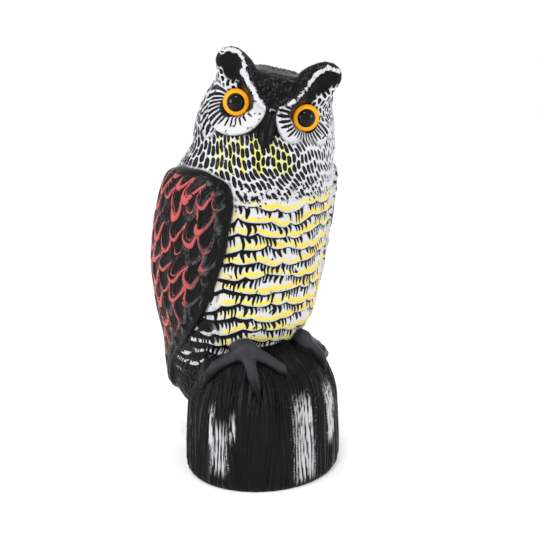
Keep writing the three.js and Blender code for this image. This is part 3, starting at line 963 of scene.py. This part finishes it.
# What the paint reads at the skin's vertices, and how far from a part its distance is kept
PLACES = ("height", "on_body", "on_head", "on_foot", "on_stump", "over_brow", "up", "out", "face",
          "wing_inset", "wing_behind", "wing_back", "stripe", "hollow", "beak", "proud")
TURNS = ("body_s", "body_c", "stump_s", "stump_c")
PLACE_REACH = 14


def skin_places(points):
    """Everything the paint needs to know of where a point of the skin is."""
    body, stump, head = body_field(points), stump_field(points), head_field(points)
    parts = {"head": head, "body": body, "stump": stump, "foot": foot_field(points)}
    shares = {}
    for name, part in parts.items():
        others = [parts[other]["distance"] for other in parts if other != name]
        shares["on_" + name] = rise(-0.8, 0.8, np.min(others, axis=0) - part["distance"])
    brow_line = np.full(len(points), FAR)
    for side in (-1, 1):
        stops = np.array(brow_stops(side)[0])
        own = side * head["across"] >= 0
        reach = np.abs(head["across"][own])
        brow_line[own] = head["up"][own] - np.interp(reach, side * stops[:, 0], stops[:, 2])
    flat = np.stack([head["across"], head["up"]], axis=1)
    stripe = np.full(len(points), FAR)
    for side, rows in STRIPES.items():
        stops = [np.array([side * across, up]) for across, up, _ in rows]
        stripe = np.minimum(stripe, bar_distance(flat, stops, [row[2] for row in rows]))
    stripe = np.where(head["out"] > -27, stripe, FAR)
    near = {"hollow": head["hollow"], "beak": head["beak"], "stripe": stripe,
            "over_brow": brow_line, "proud": stump["distance"]}
    near = {name: np.clip(value, -PLACE_REACH, PLACE_REACH) for name, value in near.items()}
    known = {**body, **stump, **head, **near, **shares, "height": points[:, 2]}
    return {name: known[name] for name in PLACES + TURNS}


def owl_skin():
    low, high = (np.array(corner) / MM for corner in cad_box)
    values, origin = sample_field(owl_field, low - BOX_MARGIN, high + BOX_MARGIN, SAMPLE_STEP)
    points, quads = whole_skin(*surface_nets(values, origin, SAMPLE_STEP))
    points, triangles = thinned(settled(points, limit=SAMPLE_STEP), quads, SKIN_TRIANGLES)
    points, triangles = whole_skin(points, triangles)
    points = settled(points, limit=0.3)
    mesh = mesh_of("owl_skin", points, triangles)
    smooth_with(mesh, skin_places(points))
    return piece_of("owl_skin", mesh)


# Eyes
def eye_profile():
    """Half section of an eye from the end of its stem to the top of its pupil: radius, height."""
    stem = EYE_STEM_DIAMETER / 2
    pupil = PUPIL_DIAMETER / 2
    back = -EYE_FLANGE
    end = back - EYE_STEM_LENGTH
    rounding = 1.6
    rim_low, rim_high = -0.6, 1.1
    iris_high = IRIS_RISE - 0.9
    points = [(0, end), (stem - 0.5, end), (stem, end + 0.5), (stem, back),
              (EYE_RADIUS - 0.4, back), (EYE_RADIUS, back + 0.4)]
    for turn in np.linspace(0, np.pi / 2, 9):
        height = blend(rim_low, rim_high, np.sin(turn))
        points.append((EYE_RADIUS - rounding * (1 - np.cos(turn)), height))
    for share in np.linspace(0.1, 1, 8):
        height = blend(rim_high, iris_high, np.sin(share * np.pi / 2))
        points.append((blend(EYE_RADIUS - rounding, pupil + 0.25, share), height))
    points.append((pupil + 0.05, iris_high - 0.2))
    for turn in np.linspace(0, np.pi / 2, 16):
        height = blend(iris_high, IRIS_RISE + PUPIL_RISE, np.sin(turn))
        points.append((pupil * np.cos(turn), height))
    return np.array(points)


def eye_mesh(name, side):
    """The half section turned round the eye's axis, with a fan of triangles at each end."""
    profile = eye_profile()
    turn = np.linspace(0, 2 * np.pi, EYE_SIDES, endpoint=False)
    circle = np.stack([np.cos(turn), np.zeros(EYE_SIDES), np.sin(turn)], axis=1)
    rings = [circle * r - (0, h, 0) for r, h in profile[1:-1]]
    ends = [(0, -profile[0][1], 0), (0, -profile[-1][1], 0)]
    local = np.concatenate([*rings, ends])
    points = eye_seat(side) + local @ eye_axes(side).T
    first, last = len(local) - 2, len(local) - 1
    top = (len(rings) - 1) * EYE_SIDES
    faces = []
    for j in range(EYE_SIDES):
        k = (j + 1) % EYE_SIDES
        faces += [(first, j, k), (last, top + k, top + j)]
        faces += [(a + j, a + EYE_SIDES + j, a + EYE_SIDES + k, a + k)
                  for a in range(0, top, EYE_SIDES)]
    mesh = bpy.data.meshes.new(name)
    mesh.from_pydata(points * MM, [], faces)
    smooth_with(mesh, {"radius": np.hypot(local[:, 0], local[:, 2]), "lift": -local[:, 1]})
    return mesh


# Materials
def srgb(*levels):
    """A linear colour from levels of 0 to 255."""
    shares = [level / 255 for level in levels]
    linear = [s / 12.92 if s <= 0.04045 else ((s + 0.055) / 1.055) ** 2.4 for s in shares]
    return (*linear, 1)


PLASTIC = srgb(11, 11, 12)
TOE = srgb(46, 46, 50)
WHITE = srgb(186, 187, 190)
YELLOW = srgb(204, 194, 62)
DEEP_YELLOW = srgb(208, 182, 44)
LEMON = srgb(192, 192, 62)
RED = srgb(166, 76, 75)
# Painted highlights: greys that stand in for the gloss of the black plastic
PAINTED_LENS_SHEEN = srgb(60, 60, 64)
PAINTED_SHEEN = srgb(84, 84, 90)
BROWN = srgb(52, 36, 12)
AMBER = srgb(212, 136, 8)
GOLD = srgb(220, 160, 14)
EYE_RIM_SHADE = srgb(150, 72, 4)
PUPIL = srgb(6, 5, 5)
PAPER = srgb(250, 250, 250)
PAPER_CLOUD = srgb(253, 253, 253)
PLASTIC_IOR = 1.18
EYE_IOR = 1.27

# Painted parts of the face, in degrees round an eye. A temple is its start and end, its reach
# from the eye and its top.
DISC_ARCS = {-1: (-118, 28), 1: (-112, 70)}
TEMPLES = {-1: (22, 166, 44, 26), 1: (62, 160, 45, 33)}

# White brush marks on the stump: angle from the front, half width in degrees, lowest and highest.
STREAKS = [(-79, 3, 40, 84), (-71, 8, 16, 68), (-60, 2.5, 50, 78), (-5, 10, 6, 92), (25, 7, 34, 94)]


class Coating:
    """The surface of a material while its layers of paint are put on."""

    def __init__(self, name, base):
        self.material = bpy.data.materials.new(name)
        self.material.use_nodes = True
        self.tree = self.material.node_tree
        self.shader = self.tree.nodes["Principled BSDF"]
        self.colour = base
        self.place = self.tree.nodes.new("ShaderNodeTexCoord").outputs["Object"]

    def value(self, name):
        node = self.tree.nodes.new("ShaderNodeAttribute")
        node.attribute_name = name
        return Wire(node.outputs["Fac"])

    def noise(self, grain, detail=2, stretch=(1, 1, 1)):
        """Cloudy noise from 0 to 1 about grain millimetres across."""
        mapping = self.tree.nodes.new("ShaderNodeMapping")
        mapping.inputs["Scale"].default_value = [s / (grain * MM) for s in stretch]
        self.tree.links.new(self.place, mapping.inputs["Vector"])
        node = self.tree.nodes.new("ShaderNodeTexNoise")
        node.inputs["Scale"].default_value = 1
        node.inputs["Detail"].default_value = detail
        self.tree.links.new(mapping.outputs["Vector"], node.inputs["Vector"])
        return Wire(node.outputs["Fac"])

    def coat(self, colour, amount):
        self.colour = self.mixed(self.colour, colour, amount)

    def mixed(self, under, over, amount):
        node = self.tree.nodes.new("ShaderNodeMix")
        node.data_type = "RGBA"
        for place, value in ((0, amount), (6, under), (7, over)):
            feed(self.tree, node.inputs[place], value)
        return node.outputs[2]

    def tone(self):
        node = self.tree.nodes.new("ShaderNodeRGBToBW")
        self.tree.links.new(self.colour, node.inputs["Color"])
        return Wire(node.outputs["Val"])

    def finish(self, roughness, bump, bump_depth):
        tree, shader = self.tree, self.shader
        tree.links.new(self.colour, shader.inputs["Base Color"])
        feed(tree, shader.inputs["Roughness"], roughness)
        node = tree.nodes.new("ShaderNodeBump")
        node.inputs["Strength"].default_value = 1
        node.inputs["Distance"].default_value = bump_depth * MM
        feed(tree, node.inputs["Height"], bump)
        tree.links.new(node.outputs["Normal"], shader.inputs["Normal"])
        return self.material


class Places:
    """Where a point of the owl's skin is, and the unevenness of the brush there."""

    def __init__(self, skin):
        for name in PLACES:
            setattr(self, name, skin.value(name))
        turn = calc("ARCTAN2", skin.value("body_s"), skin.value("body_c"))
        self.arc = turn * GIRTH_PER_RADIAN
        self.fine, self.mid, self.broad = skin.noise(1.3), skin.noise(5, 3), skin.noise(26, 2)
        self.drag = skin.noise(1.6, 3, (1, 1, 0.12))
        self.ragged = self.fine - 0.5


# Paint. Each coat covers those before it. The limits given to rise and window are millimetres,
# degrees round an eye, or shares of a noise that breaks the brush marks up.
def paint_neck(skin, at):
    """White net between dark lens feathers, with upright lemon streaks under the face."""
    start = at.height + at.ragged * 8 + (at.mid - 0.5) * 30
    neck = rise(NECK_LOW - 5, NECK_LOW, start) * at.on_body
    neck = neck * rise(1, -1, at.wing_inset)
    cheek = at.on_head * rise(1, -1, at.over_brow) * rise(17, 13, at.up)
    neck = higher(neck, cheek)
    lens = lens_feathers(neck_arc(at.arc), at.height)
    pale = rise(20, 60, at.arc + at.ragged * 8) * 0.35
    sparse = rise(-60, -100, at.arc + at.ragged * 10) * 0.1
    bare = rise(292, 284, at.height) * rise(0.5, 0.58, at.mid) * 0.9
    net = rise(0.28, -0.02, lens - pale + sparse - bare + at.ragged * 0.5 + (at.mid - 0.5) * 0.9)
    front = rise(150, 118, size_of(at.arc + 8) + at.ragged * 16)
    kept = rise(0.30, 0.40, at.mid + pale * 0.4)
    # Painted highlight: a faint grey sheen in the middle of each lens feather
    skin.coat(PAINTED_LENS_SHEEN, neck * rise(0.6, 1, lens) * 0.2)
    skin.coat(WHITE, neck * front * net * kept)
    patch = rise(1.1, 0.9, size_of(at.arc + 12) / 46 + at.ragged * 0.2)
    patch = patch * rise(294, 302, at.height + at.ragged * 6) * rise(331, 326, at.height)
    column = floor(at.arc / (1.3 * LENS_WIDTH) + at.ragged * 0.3)
    daub = rise(0.46, 0.58, chance(column) * 0.4 + at.broad * 0.2 + at.mid * 0.35 + at.drag * 0.15) * 0.85
    skin.coat(LEMON, neck * net * patch * daub)


def paint_breast(skin, at):
    """Rows of white feathers with a yellow band over their edges and dark barbs above it."""
    row, top, bottom = breast_feathers(at.arc, at.height)
    near_wing = rise(-25, -62, at.arc)
    dark = barbs(at.arc, row, top * (1 - near_wing * 0.3) + at.ragged * 0.8)
    clump = (at.mid - 0.5) * 7 + (at.broad - 0.5) * 5
    gap = 1.1 + clump + near_wing * 3
    dark = higher(dark, rise(0.5, -0.5, top + at.ragged * 1.6 - gap))
    breast = belly_share(at.arc, at.height, at.wing_inset) * at.on_body
    breast = breast * rise(135, 118, size_of(at.arc) + at.ragged * 10)
    flank = rise(-64, -80, at.arc) * rise(170, 155, at.height)
    dashes = rise(0.4, 1.2, bottom) * rise(6, 4.5, bottom + at.ragged * 2) * rise(0.42, 0.5, at.mid)
    painted = breast * (1 - dark) * rise(0.30, 0.36, at.mid + at.ragged * 0.1) * blend(1, dashes, flank)
    skin.coat(WHITE, painted)
    band = rise(1.3, 2.5, bottom + at.ragged) * rise(7.6, 5.2, bottom + at.ragged * 3 - clump * 0.5)
    band = band * rise(-76, -60, at.arc + at.ragged * 10) * rise(92, 76, at.arc)
    band = band * rise(124, 134, at.height + at.ragged * 6)
    deep = rise(0.35, 0.65, at.broad + rise(-40, 60, at.arc) * 0.3 - 0.1)
    strength = rise(0.36, 0.5, at.broad * 0.4 + at.mid * 0.35 + at.drag * 0.25) * 0.9
    skin.coat(skin.mixed(YELLOW, DEEP_YELLOW, deep), painted * band * strength)


def paint_wing(skin, at):
    """Coral strokes along the rims of the wing feathers, more of them towards the back."""
    row, number, rim, x = wing_feathers(at.wing_back, at.height)
    luck = chance(number, row)
    heavy = rise(1.1, 0.3, size_of(x + 0.2))
    width = (2 + 4.6 * rise(0.2, 0.75, luck)) * blend(0.4, 1, heavy)
    rough = at.ragged * 2 + (at.mid - 0.5) * 4
    stroke = rise(0.4, -0.4, rim - width + rough) * rise(0.2, 0.8, rim)
    stroke = stroke * rise(0.26, 0.32, luck)
    inner = chance(number + 13, row)
    second = rise(0.9, 0.3, size_of(rim - 8 + rough * 0.6)) * rise(0.45, 0.55, inner) * heavy
    brushed = rise(0.6, 0.68, at.drag + rise(270, 290, at.height) * 0.1) * rise(10, 3, rim) * 0.8
    marks = higher(higher(stroke, second), brushed)
    back = at.wing_behind + (at.broad - 0.5) * 40
    wing = rise(6, 8, at.wing_inset) * rise(12, 24, back)
    # Painted highlights: grey sheen on the scale feathers at the front of the wing, and bright lines along
    # their lower rims
    painted_scale_sheen = rise(9, 2, rim) * rise(0.5, 1.5, rim) * rise(0.42, 0.62, at.mid * 0.6 + at.fine * 0.4) * 0.8
    painted_rim_glints = window(rim + at.ragged, 0.5, 1.3, 0.4) * rise(0.4, 0.5, at.mid)
    skin.coat(PAINTED_SHEEN, higher(painted_scale_sheen, painted_rim_glints) * rise(5, 7, at.wing_inset) * rise(46, 24, back) * 0.85)
    skin.coat(RED, marks * wing * rise(0.36, 0.44, at.mid + at.fine * 0.1))
    # Painted highlight: a thin white line along the top of the wing's front edge, for the light that the
    # raised edge catches
    edge = window(at.wing_inset + at.ragged * 0.5, -0.7, 0.2, 0.5) * rise(264, 276, at.height)
    skin.coat(WHITE, edge * at.on_body * rise(50, 30, at.wing_behind) * 0.6)
    rim_paint = window(at.wing_inset + at.ragged, -1, 2.6, 0.6) * rise(0.4, 0.5, at.mid)
    rim_paint = rim_paint * rise(0, 10, at.arc) * rise(12, 8, at.wing_behind)
    skin.coat(WHITE, rim_paint * window(at.height, 140, 292, 6) * 0.9)


def paint_stump(skin, at):
    """Dry white brush marks down the bark."""
    angle = calc("ARCTAN2", skin.value("stump_s"), skin.value("stump_c"))
    streaks = 0
    for centre, half, low, high in STREAKS:
        across = rise(1.2, 0.5, size_of(angle - centre * np.pi / 180) / (half * np.pi / 180) + at.ragged)
        along = rise(low - 6, low + 8, at.height) * rise(high + 4, high - 14, at.height)
        streaks = higher(across * along, streaks)
    brushed = rise(0.38, 0.56, flutes(angle, at.height) * 0.24 + at.drag * 0.75 + (streaks - 0.7) * 0.1)
    skin.coat(WHITE, streaks * brushed * at.on_stump * 0.9)


def paint_face(skin, at, side):
    """Pale disc with dark rays below an eye, a dark hollow above it and a spotted temple beside it."""
    across = at.face - side * EYE_ARC
    radius, turn = around_eye(side, across, at.up)
    rough = at.ragged * 1.6
    face = at.on_head * rise(1, -1, at.over_brow) * rise(0.5, 1.5, at.hollow) * rise(-66, -58, at.out)
    # A black ring round each disc: the unpainted recess under its rim, widened as painted shadow cast by
    # the rim
    skin.coat(PLASTIC, face * rise(0.6, -0.6, radius - DISC_RADIUS - 3.2 + rough))
    core = EYE_RADIUS + 0.5 + 4.8 * window(turn, -175, -72, 14)
    core = core + LASH[side] * window(turn, 8, 92, 22)
    outside = rise(-0.5, 0.5, radius - core + rough * 0.7)
    disc = window(turn + rough * 3, *DISC_ARCS[side], 6) * outside
    disc = disc * rise(0.5, -0.5, radius - DISC_RADIUS + at.ragged)
    start, end, reach, top = TEMPLES[side]
    temple = window(turn + rough * 4, start, end, 6) * outside * rise(1.5, -1.5, radius - reach + rough * 2)
    temple = temple * rise(top + 1.5, top - 1.5, at.up + rough * 2)
    spots = lens_feathers(at.face * 1.05 + at.up * 0.4, at.up * 1.6 - at.face * 0.5)
    spotted = rise(WHISKERS[side][1] - 10, WHISKERS[side][1] + 6, turn)
    skin.coat(PLASTIC, face * temple)
    temple = temple * (1 - spotted * rise(0.1, 0.3, spots - 0.2 + at.ragged * 0.6 + (at.mid - 0.5) * 0.8))
    rays = disc_rays(side, across, at.up + at.ragged * 0.6) * (1 - spotted)
    broken = rise(0.31, 0.4, at.mid + at.ragged * 0.2)
    skin.coat(WHITE, face * higher(disc, temple) * (1 - rays) * broken)
    shade = window(turn, -175, -55, 22) * rise(9, 1, radius - EYE_RADIUS)
    shade = shade * rise(0, 2, radius - 8)
    olive = rise(-1, 1.5, core - radius + 1.5)
    skin.coat(BROWN, face * shade * olive * 0.8)


def painted_plastic():
    skin = Coating("painted_plastic", PLASTIC)
    at = Places(skin)
    paint_neck(skin, at)
    paint_breast(skin, at)
    paint_wing(skin, at)
    paint_stump(skin, at)
    for side in (-1, 1):
        paint_face(skin, at, side)
    # Painted highlights: grey glints scattered over the crown
    crown = at.on_head * rise(0, 2, at.over_brow)
    painted_glints = skin.noise(2.4, 1)
    skin.coat(PAINTED_SHEEN, crown * rise(0.57, 0.7, painted_glints) * 0.4)
    stripe = rise(0.4, -0.3, at.stripe + at.ragged * 4 + (at.mid - 0.5) * 6 + 0.3)
    skin.coat(WHITE, stripe * at.on_head * rise(0.28, 0.34, at.mid))
    skin.coat(PLASTIC, rise(1.2, 0.4, at.hollow + at.ragged * 1.5) * rise(-0.4, 0.4, at.stripe))
    skin.coat(PLASTIC, rise(0.9, 0.3, at.beak))
    # Charcoal toes: their own grey, with painted light, lighter on their tops where they stand proud of the
    # stump and left black as painted shade where they meet it, and black towards the claws
    skin.coat(TOE, at.on_foot * rise(4, 13, at.proud + at.ragged) * rise(97, 119, at.height))
    grain = skin.noise(0.8, 3)
    is_painted = rise(0.02, 0.3, skin.tone())
    roughness = blend(0.2 + (at.mid - 0.5) * 0.16 + at.on_foot * 0.14, 0.5, is_painted)
    skin.shader.inputs["IOR"].default_value = PLASTIC_IOR
    return skin.finish(roughness, grain * 0.5 + at.mid * 0.6 + at.drag * 0.4, bump_depth=0.35)


def eye_plastic():
    eye = Coating("eye_plastic", AMBER)
    radius, lift = eye.value("radius"), eye.value("lift")
    cloud = eye.noise(3, 2)
    pupil = PUPIL_DIAMETER / 2
    eye.coat(GOLD, rise(pupil + 3.2, pupil + 1, radius + (cloud - 0.5) * 0.5) * 0.9)
    # Painted shade: the iris darker towards the eye's rounded outer edge
    eye.coat(EYE_RIM_SHADE, rise(EYE_RADIUS - 0.9, EYE_RADIUS, radius) * 0.5)
    eye.coat(PUPIL, rise(pupil + 0.35, pupil + 0.15, radius))
    eye.coat(PLASTIC, rise(-0.6, -1.2, lift))
    roughness = blend(0.22, 0.07, rise(pupil + 0.4, pupil, radius)) + cloud * 0.04
    eye.shader.inputs["IOR"].default_value = EYE_IOR
    return eye.finish(roughness, cloud, bump_depth=0.03)


def dress(piece, material, node):
    piece.data.materials.clear()
    piece.data.materials.append(material)
    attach(piece, "root")
    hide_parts(node)


# Stage
def photo_camera():
    turn = np.radians(CAMERA_AZIMUTH)
    place = Vector((np.sin(turn) * CAMERA_DISTANCE, -np.cos(turn) * CAMERA_DISTANCE, CAMERA_HEIGHT)) * MM
    aim = Vector((0, 0, AIM_HEIGHT * MM))
    camera = piece_of("camera", bpy.data.cameras.new("camera"))
    camera.data.lens = LENS
    camera.data.sensor_width = SENSOR_WIDTH
    camera.data.shift_x = AXIS_SHIFT
    camera.location = place
    camera.rotation_euler = (aim - place).to_track_quat("-Z", "Y").to_euler()
    bpy.context.scene.camera = camera


def soft_light(name, azimuth, elevation, distance, size, power):
    """An area light that looks at the owl from a direction, in degrees and metres."""
    a, e = np.radians(azimuth), np.radians(elevation)
    light = piece_of(name, bpy.data.lights.new(name, "AREA"))
    light.data.shape = "RECTANGLE"
    light.data.size, light.data.size_y = size
    light.data.energy = power
    back = Vector((np.sin(a) * np.cos(e), -np.cos(a) * np.cos(e), np.sin(e)))
    light.location = Vector((0, 0, LIGHT_AIM)) + back * distance
    light.rotation_euler = (-back).to_track_quat("-Z", "Y").to_euler()


def studio():
    mesh = bpy.data.meshes.new("floor")
    corners = [(x * FLOOR_REACH, y * FLOOR_REACH, 0) for x, y in ((-1, -1), (1, -1), (1, 1), (-1, 1))]
    mesh.from_pydata(corners, [], [(0, 1, 2, 3)])
    floor_piece = piece_of("floor", mesh)
    paper = Coating("floor_paper", PAPER)
    cloud = paper.noise(9, 3)
    paper.coat(PAPER_CLOUD, cloud)
    mesh.materials.append(paper.finish(0.85, cloud, bump_depth=0.02))
    world = bpy.data.worlds.new("studio")
    world.use_nodes = True
    background = world.node_tree.nodes["Background"]
    background.inputs["Color"].default_value = (1, 1, 1, 1)
    background.inputs["Strength"].default_value = WORLD_STRENGTH
    bpy.context.scene.world = world
    bpy.context.scene.view_settings.view_transform = "Standard"
    for name, (turn, *rest) in LIGHTS.items():
        soft_light(name, CAMERA_AZIMUTH + turn, *rest)


photo_camera()
owl = owl_skin()
dress(owl, painted_plastic(), "owl")
glossy = eye_plastic()
for side, name in ((-1, "right_eye"), (1, "left_eye")):
    dress(piece_of(name + "_glossy", eye_mesh(name + "_glossy", side)), glossy, name)
studio()
